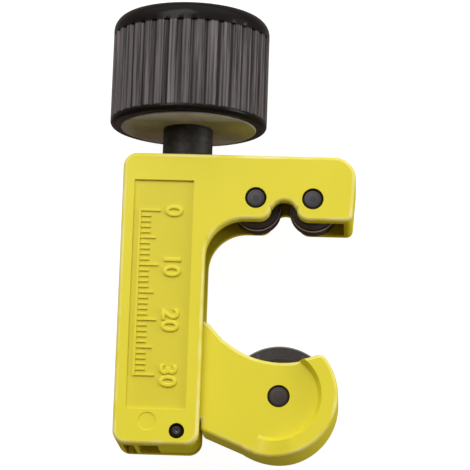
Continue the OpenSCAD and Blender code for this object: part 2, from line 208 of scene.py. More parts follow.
def finish_of(
    name,
    colour,
    second,
    roughness,
    drift,
    grain,
    grain_height=0.004 * mm,
    edge=None,
    edge_amount=0.5,
    metallic=0.0,
    glaze=0.0,
    specular=0.5,
):
    """A material with drifting colour, a fine grain and, if asked, edges of another colour.

    A glaze is the weight of a clear coat on the sides that face up or down.
    """
    made, tree, shader = new_material(name)
    where = node_at(tree, "TexCoord", -1100, 0)
    mottle = group_at(
        tree,
        surface_mottle,
        -700,
        0,
        Colour=colour,
        Second_colour=second,
        Drift_scale=drift,
        Grain_scale=grain,
        Roughness_low=roughness[0],
        Roughness_high=roughness[1],
    )
    bump = node_at(tree, "Bump", -200, -300, Strength=1.0, Distance=grain_height)
    wire(
        tree,
        (where, "Object", mottle, "Vector"),
        (mottle, "Roughness", shader, "Roughness"),
        (mottle, "Height", bump, "Height"),
        (bump, "Normal", shader, "Normal"),
    )
    if edge:
        worn = group_at(tree, edge_wear_and_highlight, -400, 0, Edge_colour=edge, Amount=edge_amount)
        wire(tree, (mottle, "Colour", worn, "Colour"), (worn, "Colour", shader, "Base Color"))
    else:
        wire(tree, (mottle, "Colour", shader, "Base Color"))
    if glaze:
        split = node_at(tree, "SeparateXYZ", -900, -500)
        lean = node_at(tree, "Math", -700, -500, "ABSOLUTE")
        coat = node_at(tree, "MapRange", -500, -500, From_Min=0.3, From_Max=0.9, To_Max=glaze)
        wire(
            tree,
            (where, "Normal", split, "Vector"),
            (split, "Z", lean, 0),
            (lean, "Value", coat, "Value"),
            (coat, "Result", shader, "Coat Weight"),
        )
    with_values(
        shader, {"Metallic": metallic, "Coat Roughness": 0.3, "Specular IOR Level": specular}
    )
    return made


def coated_yellow(name, colour, second, roughness, drift=90.0, glaze=0.0, specular=0.0):
    """The castings' coating: smooth, with the faint orange peel of a powder coat."""
    return finish_of(
        name,
        colour,
        second,
        roughness,
        drift,
        grain=1100.0,
        grain_height=0.006 * mm,
        glaze=glaze,
        specular=specular,
    )


yellow_coating = coated_yellow("yellow_coating", coat_yellow, coat_deep, (0.50, 0.62), glaze=0.5)
# The panel's floor: the coating painted darker, as painted shade.
yellow_sunk_painted_shade = coated_yellow(
    "yellow_coating_sunk_painted_shade", coat_sunk_painted_shade, coat_sunk_deep_painted_shade, (0.50, 0.62), glaze=0.5
)
# The roundings' paler cream is a painted highlight, with more real gloss.
yellow_edges_painted_highlight = coated_yellow(
    "yellow_coating_edges_painted_highlight", coat_edge_painted_highlight, coat_yellow, (0.38, 0.5), drift=260.0, specular=0.4
)


def finished_mesh(name, shape, material, smooth=30.0, edges=None):
    """A new object from a bmesh, shaded smooth between faces that nearly agree."""
    mesh = bpy.data.meshes.new(name)
    shape.to_mesh(mesh)
    shape.free()
    mesh.materials.append(material)
    if edges:
        mesh.materials.append(edges)
    mesh.shade_smooth()
    mesh.set_sharp_from_angle(angle=math.radians(smooth))
    made = bpy.data.objects.new(name, mesh)
    bpy.context.scene.collection.objects.link(made)
    return made


def stands_for(piece, node, body):
    """The piece takes a solid's place, rides with its body and has its finish."""
    weigh = piece.modifiers.new("even_shading", "WEIGHTED_NORMAL")
    weigh.keep_sharp = True
    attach(piece, body)
    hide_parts(node)


def merged_copy(node):
    """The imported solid's shape as one closed mesh without its seams."""
    weld = 0.002 * mm
    flat = math.radians(0.5)
    shape = bmesh.new()
    shape.from_mesh(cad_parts[node].data)
    bmesh.ops.remove_doubles(shape, verts=shape.verts, dist=weld)
    bmesh.ops.dissolve_limit(shape, angle_limit=flat, verts=shape.verts, edges=shape.edges)
    return shape


def soften_edges(shape, radius, sharp, segments=3, keep=None, slot=0, clamp=True):
    """Rounds the edges that turn more than the angle, in the slot's material; slot 1 is a painted
    highlight.
    """
    edges = [
        e
        for e in shape.edges
        if len(e.link_faces) == 2
        and e.calc_face_angle(0) > sharp
        and (keep is None or keep(e))
    ]
    made = bmesh.ops.bevel(
        shape,
        geom=edges,
        offset=radius,
        offset_type="OFFSET",
        affect="EDGES",
        segments=segments,
        profile=0.5,
        material=-1,
        clamp_overlap=clamp,
        loop_slide=True,
    )
    for face in made["faces"]:
        face.material_index = slot


def softened_solid(node, name, body, material, radius, sharp=cast_sharp, segments=3):
    """A solid with its sharp edges rounded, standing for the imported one."""
    shape = merged_copy(node)
    soften_edges(shape, radius, sharp, segments)
    stands_for(finished_mesh(name, shape, material), node, body)


def face_height(face):
    """How far a face reaches along Z."""
    heights = [v.co.z for v in face.verts]
    return max(heights) - min(heights)


def is_outline(edge, half, holes):
    """Whether an edge bounds a flat side of a casting, and not one of its holes."""
    middle = (edge.verts[0].co + edge.verts[1].co) / 2
    return (
        any(abs(f.normal.z) < 0.5 and face_height(f) > full_wall for f in edge.link_faces)
        and min(abs(v.co.z - screw_axis.z) for v in edge.verts) > half - slack
        and all((middle - screw_axis - hole).xy.length > hole_reach for hole in holes)
    )


def is_shallow(edge):
    """Whether an edge bounds a wall that is too low for a wide rounding."""
    return any(abs(f.normal.z) < 0.9 and face_height(f) < low_wall for f in edge.link_faces)


def merge_same_points(shape):
    """Merges the points that a rounding left on top of each other."""
    bmesh.ops.dissolve_degenerate(shape, dist=same_point, edges=shape.edges)


frame_holes = [*roller_spots.values(), foot_pin_spot]
panel_floor = screw_axis.z + frame_half - panel_depth
frame_shape = merged_copy("frame")
soften_edges(frame_shape, panel_edge, cast_sharp, keep=is_shallow)
# Slot 1, the paler cream on the outline's roundings, is a painted highlight.
soften_edges(
    frame_shape,
    cast_edge,
    cast_sharp,
    segments=4,
    keep=lambda e: is_outline(e, frame_half, frame_holes),
    slot=1,
    clamp=False,
)
merge_same_points(frame_shape)
soften_edges(frame_shape, cast_small_edge, cast_sharp, keep=lambda e: not is_shallow(e), slot=1)
merge_same_points(frame_shape)
# The panel's floor takes slot 2, the darker yellow of painted shade.
for face in frame_shape.faces:
    if face.normal.z > 0.9 and abs(face.calc_center_median().z - panel_floor) < 0.1 * mm:
        face.material_index = 2
frame_casting = finished_mesh("frame_casting", frame_shape, yellow_coating, edges=yellow_edges_painted_highlight)
frame_casting.data.materials.append(yellow_sunk_painted_shade)
stands_for(frame_casting, "frame", "frame_body")

# Panel scale: raised ticks a millimetre apart along a thin spine, every fifth one longer and
# every tenth one numbered, cast with the panel's floor. It is read with the knob to the left.
column_left = screw_axis.x - 10.7 * mm
panel_left = column_left + 1.85 * mm
scale_start = screw_axis.y - 10.6 * mm
scale_last = 30
spine_middle = panel_left + 1.2 * mm
spine_width = 0.4 * mm
ticks_from = panel_left + 1.3 * mm
tick_width = 0.34 * mm
short_tick, fifth_tick, tenth_tick = 1.9 * mm, 2.9 * mm, 3.6 * mm
figures_at = panel_left + 5.9 * mm
figure_height = 3.0 * mm
figure_share_of_size = 0.72
figure_body = 0.1 * mm
figure_bevel = 0.1 * mm
figure_swell = 0.05 * mm
relief = 0.30 * mm
relief_root = 0.1 * mm
scale_shape = bmesh.new()


def raised_bar(x0, x1, y, width, end_draft=0.0, side_draft=0.0):
    """A low bar on the panel's floor, its upper edges drawn in for the die."""
    made = bmesh.ops.create_cube(scale_shape, size=1.0)["verts"]
    bmesh.ops.scale(scale_shape, vec=(x1 - x0, width, relief + relief_root), verts=made)
    for v in made:
        if v.co.z > 0:
            v.co.x *= 1 - end_draft / (x1 - x0)
            v.co.y *= 1 - side_draft
    bmesh.ops.translate(
        scale_shape,
        vec=((x0 + x1) / 2, y, panel_floor + (relief - relief_root) / 2),
        verts=made,
    )


def raised_figure(words, x, y):
    """A number on the panel's floor, upright when the knob is to the left."""
    curve = bpy.data.curves.new("figure", "FONT")
    curve.body = words
    curve.size = figure_height / figure_share_of_size
    curve.extrude = figure_body
    curve.bevel_depth = figure_bevel
    curve.bevel_resolution = 1
    curve.offset = figure_swell
    curve.resolution_u = 5
    curve.align_x = "CENTER"
    holder = bpy.data.objects.new("figure", curve)
    bpy.context.scene.collection.objects.link(holder)
    bpy.context.view_layer.update()
    outline = bpy.data.meshes.new_from_object(holder)
    bpy.data.objects.remove(holder)
    bpy.data.curves.remove(curve)
    figure = bmesh.new()
    figure.from_mesh(outline)
    bmesh.ops.remove_doubles(figure, verts=figure.verts, dist=0.001 * mm)
    lying = Matrix.Rotation(-math.pi / 2, 3, "Z")
    bmesh.ops.rotate(figure, cent=(0, 0, 0), matrix=lying, verts=figure.verts)
    height = panel_floor + relief - figure_body - figure_bevel
    bmesh.ops.translate(figure, vec=(x, y, height), verts=figure.verts)
    figure.to_mesh(outline)
    figure.free()
    scale_shape.from_mesh(outline)
    bpy.data.meshes.remove(outline)


for step in range(scale_last + 1):
    place = scale_start - step * mm
    length = tenth_tick if step % 10 == 0 else fifth_tick if step % 5 == 0 else short_tick
    raised_bar(
        ticks_from, ticks_from + length, place, tick_width, end_draft=0.12 * mm, side_draft=0.3
    )
    if step % 10 == 0:
        raised_figure(str(step), figures_at, place)
raised_bar(
    spine_middle - spine_width / 2,
    spine_middle + spine_width / 2,
    scale_start - scale_last / 2 * mm,
    scale_last * mm + tick_width,
)
panel_scale = finished_mesh("panel_scale", scale_shape, yellow_coating, smooth=50.0)
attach(panel_scale, "frame_body")

# Foot: a small coated block closes the screw's side of the column. A blackened cross pin,
# its centre marked by the punch that drove it in, holds the block. Its end is painted near
# black outside the punch mark, which stays lighter as a painted highlight.
softened_solid(
    "end_stop", "stop_block", "frame_body", yellow_coating, cast_small_edge
)


def make_turned_group():
    """Fine rings and lines left by turning, around the Z axis of the given vector."""
    group = bpy.data.node_groups.new("turned_marks", "ShaderNodeTree")
    into, out = group_sockets(
        group,
        [
            ("Vector", "NodeSocketVector", None),
            ("Line scale", "NodeSocketFloat", 4000.0),
            ("Rim start", "NodeSocketFloat", 1.0),
            ("Rim end", "NodeSocketFloat", 1.1),
        ],
        [("Lines", "NodeSocketFloat"), ("Rim", "NodeSocketFloat")],
    )
    split = node_at(group, "SeparateXYZ", -900, 0)
    across = node_at(group, "CombineXYZ", -700, 100)
    reach = node_at(group, "VectorMath", -500, 100, "LENGTH")
    plane = node_at(group, "CombineXYZ", -300, 0)
    lines = node_at(group, "TexNoise", -100, 0, Detail=3.0, Roughness=0.65)
    rim = node_at(group, "MapRange", -100, 300)
    wire(
        group,
        (into, "Vector", split, "Vector"),
        (split, "X", across, "X"),
        (split, "Y", across, "Y"),
        (across, "Vector", reach, 0),
        (reach, "Value", plane, "X"),
        (split, "Z", plane, "Y"),
        (plane, "Vector", lines, "Vector"),
        (into, "Line scale", lines, "Scale"),
        (reach, "Value", rim, "Value"),
        (into, "Rim start", rim, "From Min"),
        (into, "Rim end", rim, "From Max"),
        (lines, "Fac", out, "Lines"),
        (rim, "Result", out, "Rim"),
    )
    return group


turned_marks = make_turned_group()


def turned_finish(
    name,
    centre,
    colour,
    second,
    roughness,
    metallic,
    rim=None,
    rim_at=(1.0, 1.1),
    line_scale=4000.0,
    line_height=0.004 * mm,
    edge=None,
    edge_amount=0.5,
    turn=(0, 0, 0),
    specular=0.5,
):
    """Steel turned about an axis through the centre, with another colour near its rim."""
    made, tree, shader = new_material(name)
    where = node_at(tree, "TexCoord", -1300, 0)
    lay = node_at(tree, "Mapping", -1100, 0, Location=centre, Rotation=turn)
    lay.vector_type = "TEXTURE"
    marks = group_at(
        tree,
        turned_marks,
        -900,
        0,
        Line_scale=line_scale,
        Rim_start=rim_at[0] * mm,
        Rim_end=rim_at[1] * mm,
    )
    spread = node_at(tree, "MapRange", -700, 0, From_Min=0.35, From_Max=0.65)
    shine = node_at(tree, "MapRange", -700, -250, From_Min=0.35, From_Max=0.65)
    with_values(shine, {"To Min": roughness[0], "To Max": roughness[1]})
    tint = node_at(tree, "Mix", -600, 0, A=colour, B=second)
    bump = node_at(tree, "Bump", -200, -300, Strength=1.0, Distance=line_height)
    wire(
        tree,
        (where, "Object", lay, "Vector"),
        (lay, "Vector", marks, "Vector"),
        (marks, "Lines", spread, "Value"),
        (marks, "Lines", shine, "Value"),
        (marks, "Lines", bump, "Height"),
        (spread, "Result", tint, "Factor"),
        (shine, "Result", shader, "Roughness"),
        (bump, "Normal", shader, "Normal"),
    )
    shade = (tint, "Result")
    if rim:
        ring = node_at(tree, "Mix", -400, 0, B=rim)
        wire(tree, (marks, "Rim", ring, "Factor"), (*shade, ring, "A"))
        shade = (ring, "Result")
    if edge:
        worn = group_at(tree, edge_wear_and_highlight, -200, 0, Edge_colour=edge, Amount=edge_amount)
        with_values(worn, {"Breakup scale": 900.0})
        wire(tree, (*shade, worn, "Colour"))
        shade = (worn, "Colour")
    wire(tree, (*shade, shader, "Base Color"))
    with_values(shader, {"Metallic": metallic, "Specular IOR Level": specular})
    return made


def both_ways(half):
    """A profile that is the same towards both ends, from its points at the upper end."""
    return [(r, -z) for r, z in half] + [(r, z) for r, z in reversed(half)]


def turned_shape(profile, centre, closed=False, steps=96, turn=None):
    """A solid of revolution from radius and height pairs in mm, moved to its centre."""
    shape = bmesh.new()
    points = [shape.verts.new((r * mm, 0, z * mm)) for r, z in profile]
    edges = [shape.edges.new(pair) for pair in zip(points, points[1:])]
    if closed:
        edges.append(shape.edges.new((points[-1], points[0])))
    bmesh.ops.spin(
        shape,
        geom=points + edges,
        cent=(0, 0, 0),
        axis=(0, 0, 1),
        angle=math.tau,
        steps=steps,
        use_merge=True,
    )
    bmesh.ops.remove_doubles(shape, verts=shape.verts, dist=0.001 * mm)
    bmesh.ops.recalc_face_normals(shape, faces=shape.faces)
    if turn:
        bmesh.ops.rotate(shape, cent=(0, 0, 0), matrix=turn, verts=shape.verts)
    bmesh.ops.translate(shape, vec=centre, verts=shape.verts)
    return shape


turned_sharp = math.radians(25)
turned_edge = 0.08 * mm
foot_pin_radius = 1.37
foot_pin_end = 7.05
foot_pin_bevel = 0.55
punch_mark = 0.3
foot_pin_axis = screw_axis + foot_pin_spot
foot_pin_finish = turned_finish(
    "foot_pin_black",
    foot_pin_axis,
    colour=(0.11, 0.105, 0.10, 1),
    second=(0.06, 0.055, 0.052, 1),
    roughness=(0.35, 0.5),
    metallic=0.6,
    # Near black beyond the punch mark, which stays lighter: a painted highlight.
    rim=(0.012, 0.010, 0.009, 1),
    rim_at=(0.25, 0.6),
)
foot_pin = turned_shape(
    both_ways(
        [
            (0, foot_pin_end - punch_mark),
            (punch_mark, foot_pin_end),
            (foot_pin_radius - foot_pin_bevel, foot_pin_end),
            (foot_pin_radius, foot_pin_end - foot_pin_bevel),
        ]
    ),
    foot_pin_axis,
    steps=64,
)
soften_edges(foot_pin, turned_edge, turned_sharp, segments=2)
stands_for(
    finished_mesh("foot_pin", foot_pin, foot_pin_finish),
    "end_stop_pin",
    "frame_body",
)

# Rollers: turned steel, bored to run on their pins, with a groove that lets the wheel's edge
# in when the tool is shut. Their flanges keep fine turning lines. The bodies are painted near
# black as painted shade, and the lips by the groove pale as a painted highlight.
roller_bore = 1.98
roller_radius = 4.35
roller_half = 4.9
roller_edge = 0.28
groove_radius = 3.25
groove_mouth, groove_floor = 0.95, 0.675
lip_reach = 2 * mm
lip_edge = 0.17 * mm
# The lips' pale colour is a painted highlight.
roller_lip_painted_highlight = finish_of(
    "roller_lip_steel_painted_highlight",
    colour=(0.95, 0.92, 0.88, 1),
    second=(0.80, 0.76, 0.72, 1),
    roughness=(0.3, 0.45),
    drift=500.0,
    grain=2600.0,
    metallic=0.2,
)
for side, spot in roller_spots.items():
    roller_axis = screw_axis + spot
    # Near black bodies: painted shade.
    roller_painted_shade_finish = turned_finish(
        "roller_steel_painted_shade_" + side,
        roller_axis,
        colour=(0.072, 0.058, 0.054, 1),
        second=(0.035, 0.028, 0.026, 1),
        roughness=(0.30, 0.46),
        metallic=0.05,
        line_scale=5200.0,
        line_height=0.006 * mm,
        specular=0.03,
    )
    roller = turned_shape(
        both_ways(
            [
                (roller_bore, roller_half),
                (roller_radius - roller_edge, roller_half),
                (roller_radius, roller_half - roller_edge),
                (roller_radius, groove_mouth),
                (groove_radius, groove_floor),
            ]
        ),
        roller_axis,
        closed=True,
    )
    # Slot 1 on the lips near the groove is the painted highlight; the outer ends keep slot 0.
    soften_edges(roller, lip_edge, turned_sharp, segments=2, slot=1)
    for face in roller.faces:
        if abs(face.calc_center_median().z - roller_axis.z) > lip_reach:
            face.material_index = 0
    stands_for(
        finished_mesh(
            "roller_" + side + "_turned", roller, roller_painted_shade_finish, edges=roller_lip_painted_highlight
        ),
        "roller_" + side,
        "roller_" + side + "_body",
    )

# Roller pins: blackened steel, pressed through both walls. Their ends are ground nearly
# flush, and the ring at their chamfer is painted near black as painted shade.
pin_radius = 1.93
pin_end = 7.05
pin_bevel = 0.4
pin_edge = 0.1 * mm
for side, spot in roller_spots.items():
    pin_axis = screw_axis + spot
    pin_finish = turned_finish(
        "roller_pin_steel_" + side,
        pin_axis,
        colour=(0.050, 0.050, 0.052, 1),
        second=(0.026, 0.026, 0.031, 1),
        roughness=(0.42, 0.58),
        metallic=0.5,
        # A near-black ring at the chamfer: painted shade.
        rim=(0.014, 0.011, 0.009, 1),
        rim_at=(1.30, 1.6),
    )
    roller_pin = turned_shape(
        both_ways(
            [(0, pin_end), (pin_radius - pin_bevel, pin_end), (pin_radius, pin_end - pin_bevel)]
        ),
        pin_axis,
    )
    soften_edges(roller_pin, pin_edge, turned_sharp, segments=2)
    stands_for(
        finished_mesh("roller_pin_" + side + "_ground", roller_pin, pin_finish),
        "roller_pin_" + side,
        "frame_body",
    )

# Jaw: a casting with the same coating, its carriage in the column's channel and its round
# end slotted for the wheel. The rim around the round end rises slowly out of the heel.
jaw_centre = screw_axis + Vector((17.7, -43.45, 0)) * mm
wheel_spot = Vector((18.2, -43.45, 0)) * mm
jaw_edge = 0.65 * mm
rim_edge = 0.6 * mm
jaw_half = 4.95 * mm
round_end = 5 * mm
rim_from, rim_to = 7.5 * mm, 8.2 * mm
rim_start = math.radians(270 - 22)
rim_rise = math.radians(44)
rim_least = 0.06
rise_steps = 8
jaw_shape = merged_copy("slide")
for step in range(1, rise_steps + 1):
    angle = rim_start + rim_rise * step / rise_steps
    outward = Vector((math.cos(angle), math.sin(angle)))
    far = [v for v in jaw_shape.verts if (v.co - jaw_centre).xy.dot(outward) > round_end]
    near = {f for v in far for f in v.link_faces}
    edges = {e for f in near for e in f.edges}
    verts = {v for e in edges for v in e.verts}
    bmesh.ops.bisect_plane(
        jaw_shape,
        geom=list(verts) + list(edges) + list(near),
        dist=same_point,
        plane_co=jaw_centre,
        plane_no=(-math.sin(angle), math.cos(angle), 0),
    )


def is_rim_wall(edge):
    """Whether an edge bounds the slanting wall inside the rim."""
    return all(
        rim_from - slack < (v.co - jaw_centre).xy.length < rim_to + slack
        and abs(v.co.z - jaw_centre.z) > jaw_half - 0.01 * mm
        for v in edge.verts
    )


for v in jaw_shape.verts:
    offset = v.co - jaw_centre
    height = abs(offset.z)
    turn = (math.atan2(offset.y, offset.x) - rim_start + 0.01) % math.tau - 0.01
    if height > jaw_half + 0.01 * mm and turn < rim_rise:
        share = max(turn, 0) / rim_rise
        share = rim_least + (1 - rim_least) * share * share * (3 - 2 * share)
        height = jaw_half + (height - jaw_half) * share
        v.co.z = jaw_centre.z + math.copysign(height, offset.z)
# Slot 1 on the jaw's roundings is the same paler cream painted highlight.
soften_edges(
    jaw_shape,
    jaw_edge,
    cast_sharp,
    segments=4,
    keep=lambda e: not is_rim_wall(e) and is_outline(e, jaw_half, [wheel_spot]),
    slot=1,
    clamp=False,
)
soften_edges(jaw_shape, rim_edge, cast_sharp, segments=4, keep=is_rim_wall)
soften_edges(jaw_shape, cast_small_edge, cast_sharp, keep=lambda e: not is_rim_wall(e), slot=1)
jaw_coating = coated_yellow(
    "jaw_yellow_coating", coat_yellow, coat_deep, (0.48, 0.60), glaze=0.4, specular=0.06
)
stands_for(
    finished_mesh("jaw_casting", jaw_shape, jaw_coating, smooth=35.0, edges=yellow_edges_painted_highlight),
    "slide",
    "jaw_body",
)

# Cutting wheel: hardened tool steel, blackened, with hub, flat web and a ground bevel that
# runs out to the cutting edge. It turns on the axle between two stamped washers.
wheel_bore = 2.05
wheel_radius = 9.85
hub_radius, hub_half = 4.2, 2.1
web_radius, web_half = 7.4, 0.85
cutting_half = 0.05
hub_edge = 0.1 * mm
hub_sharp = math.radians(50)
wheel_axis = screw_axis + wheel_spot
wheel_finish = turned_finish(
    "wheel_tool_steel",
    wheel_axis,
    colour=(0.028, 0.022, 0.019, 1),
    second=(0.017, 0.013, 0.011, 1),
    roughness=(0.46, 0.60),
    metallic=0.1,
    rim=(0.30, 0.29, 0.28, 1),
    rim_at=(9.55, 9.8),
    line_scale=3600.0,
    edge=(0.10, 0.09, 0.085, 1),
    specular=0.25,
)
wheel = turned_shape(
    both_ways(
        [
            (wheel_bore, hub_half),
            (hub_radius, hub_half),
            (hub_radius, web_half),
            (web_radius, web_half),
            (wheel_radius, cutting_half),
        ]
    ),
    wheel_axis,
    closed=True,
    steps=128,
)
soften_edges(wheel, hub_edge, hub_sharp, segments=2)
stands_for(
    finished_mesh("cutting_wheel_ground", wheel, wheel_finish, smooth=15.0),
    "cutter_wheel",
    "wheel_body",
)


def stamped_part(node, body, material, radius):
    """A washer or clip with the slightly rounded edges that stamping leaves."""
    softened_solid(node, node + "_stamped", body, material, radius, segments=2)


washer_edge = 0.08 * mm
washer_finish = finish_of(
    "stamped_washer_steel",
    colour=(0.52, 0.51, 0.50, 1),
    second=(0.42, 0.41, 0.40, 1),
    roughness=(0.25, 0.42),
    drift=500.0,
    grain=2600.0,
    edge=(0.7, 0.7, 0.69, 1),
    metallic=1.0,
)
for side in ("front", "back"):
    stamped_part("wheel_washer_" + side, "jaw_body", washer_finish, washer_edge)

# Wheel axle: blackened steel pressed into the front cheek, with a groove behind the back
# cheek for an open clip of spring steel, so that the wheel can be changed.
axle_radius = 2.0
axle_bevel = 0.4
axle_front, axle_back = 4.75, 6.05
clip_seat_radius = 1.5
clip_seat_from, clip_seat_to = 5.05, 5.65
axle_finish = turned_finish(
    "wheel_axle_black",
    wheel_axis,
    colour=(0.046, 0.040, 0.036, 1),
    second=(0.030, 0.025, 0.023, 1),
    roughness=(0.45, 0.6),
    metallic=0.5,
    # A near-black ring at the chamfer: painted shade.
    rim=(0.020, 0.016, 0.014, 1),
    rim_at=(1.75, 1.98),
)
axle = turned_shape(
    [
        (0, -axle_back),
        (axle_radius - axle_bevel, -axle_back),
        (axle_radius, -clip_seat_to),
        (clip_seat_radius, -clip_seat_to),
        (clip_seat_radius, -clip_seat_from),
        (axle_radius, -clip_seat_from),
        (axle_radius, axle_front - axle_bevel),
        (axle_radius - axle_bevel, axle_front),
        (0, axle_front),
    ],
    wheel_axis,
)
soften_edges(axle, turned_edge, turned_sharp, segments=2)
stands_for(
    finished_mesh("wheel_axle_turned", axle, axle_finish),
    "wheel_axle",
    "jaw_body",
)
clip_edge = 0.07 * mm
clip_finish = finish_of(
    "spring_clip_steel",
    colour=(0.085, 0.082, 0.085, 1),
    second=(0.055, 0.053, 0.056, 1),
    roughness=(0.38, 0.55),
    drift=600.0,
    grain=3000.0,
    edge=(0.3, 0.3, 0.3, 1),
    metallic=0.8,
)
stamped_part("wheel_axle_clip", "jaw_body", clip_finish, clip_edge)

# Feed screw: one black-oxide steel piece. A fluted spigot holds the knob, the smooth collar
# bears on the frame through a thin washer, and the rolled thread draws the jaw.
thread_root = 2.23
thread_crest = 2.95
thread_pitch = 1.5
thread_turns = 26
thread_top = -6.75
journal_cut = -6.45
core_overlap = 0.15
screw_end = -46.15
screw_end_radius = 1.8
screw_end_bevel = 0.4
collar_reach = 4.2 * mm
collar_edge = 0.2 * mm
collar_sharp = math.radians(40)
turn_steps = 36
screw_finish = turned_finish(
    "black_oxide_screw",
    screw_axis,
    colour=(0.009, 0.008, 0.0075, 1),
    second=(0.006, 0.0055, 0.005, 1),
    roughness=(0.48, 0.62),
    metallic=0.3,
    line_scale=2400.0,
    edge=(0.12, 0.115, 0.11, 1),
    edge_amount=0.45,
    turn=(math.pi / 2, 0, 0),
)
screw = merged_copy("feed_screw")
bmesh.ops.bisect_plane(
    screw,
    geom=list(screw.verts) + list(screw.edges) + list(screw.faces),
    dist=0.0001 * mm,
    plane_co=screw_axis + Vector((0, journal_cut, 0)) * mm,
    plane_no=(0, -1, 0),
    clear_outer=True,
)
bmesh.ops.holes_fill(screw, edges=[e for e in screw.edges if e.is_boundary])
soften_edges(
    screw,
    collar_edge,
    collar_sharp,
    keep=lambda e: min((v.co - screw_axis).xz.length for v in e.verts) > collar_reach,
)


def add_to_screw(shape):
    """Joins a finished bmesh to the screw's mesh."""
    mesh = bpy.data.meshes.new("screw_part")
    shape.to_mesh(mesh)
    shape.free()
    screw.from_mesh(mesh)
    bpy.data.meshes.remove(mesh)


add_to_screw(
    turned_shape(
        [
            (0, screw_end),
            (screw_end_radius, screw_end),
            (thread_root, screw_end + screw_end_bevel),
            (thread_root, journal_cut - core_overlap),
            (thread_crest, journal_cut - core_overlap),
            (thread_crest, journal_cut + core_overlap),
            (0, journal_cut + core_overlap),
        ],
        screw_axis,
        steps=turn_steps,
        turn=Matrix.Rotation(-math.pi / 2, 3, "X"),
    )
)
ridge_shape = bmesh.new()
ridge_corners = [
    ridge_shape.verts.new((r * mm, y * mm, 0))
    for r, y in (
        (thread_root - 0.1, -0.62),
        (thread_crest - 0.05, -0.17),
        (thread_crest, -0.1),
        (thread_crest, 0.1),
        (thread_crest - 0.05, 0.17),
        (thread_root - 0.1, 0.62),
    )
]
ridge_edges = [
    ridge_shape.edges.new(pair)
    for pair in zip(ridge_corners, ridge_corners[1:] + ridge_corners[:1])
]
bmesh.ops.spin(
    ridge_shape,
    geom=ridge_corners + ridge_edges,
    cent=(0, 0, 0),
    axis=(0, 1, 0),
    dvec=(0, thread_pitch * mm / turn_steps, 0),
    angle=math.tau * (thread_turns - 1),
    steps=(thread_turns - 1) * turn_steps,
    use_merge=False,
)
bmesh.ops.holes_fill(ridge_shape, edges=[e for e in ridge_shape.edges if e.is_boundary])
bmesh.ops.recalc_face_normals(ridge_shape, faces=ridge_shape.faces)
lowest_ridge = Vector((0, thread_top - (thread_turns - 0.5) * thread_pitch, 0)) * mm
bmesh.ops.translate(ridge_shape, vec=screw_axis + lowest_ridge, verts=ridge_shape.verts)
add_to_screw(ridge_shape)
stands_for(
    finished_mesh("feed_screw_threaded", screw, screw_finish),
    "feed_screw",
    "knob_body",
)
stamped_part("thrust_washer", "frame_body", washer_finish, washer_edge)
stamped_part("screw_clip", "knob_body", clip_finish, clip_edge)

# Knob shell: moulded black plastic with ribs between two smooth glossy bands. The ribs are
# dulled and streaked along their length in relief; the streaks' light colour and the ribs'
# lighter edges are painted highlights, and the valleys' dark floors are painted shade.
ribs_from = screw_axis.y + 7.45 * mm
ribs_to = screw_axis.y + 23.35 * mm
ribs_fade = 0.3 * mm
valley_floor, valley_top = 13.80 * mm, 13.94 * mm
band_black = (0.008, 0.0072, 0.0065, 1)
# Painted shade on the valleys' floors.
valley_painted_shade = (0.0095, 0.0090, 0.0090, 1)
rib_dark = (0.032, 0.0305, 0.0305, 1)
# The light of the streaks and of the ribs' edges: painted highlights.
rib_painted_highlight = (0.215, 0.200, 0.198, 1)
rib_edge_painted_highlight = (0.16, 0.145, 0.14, 1)


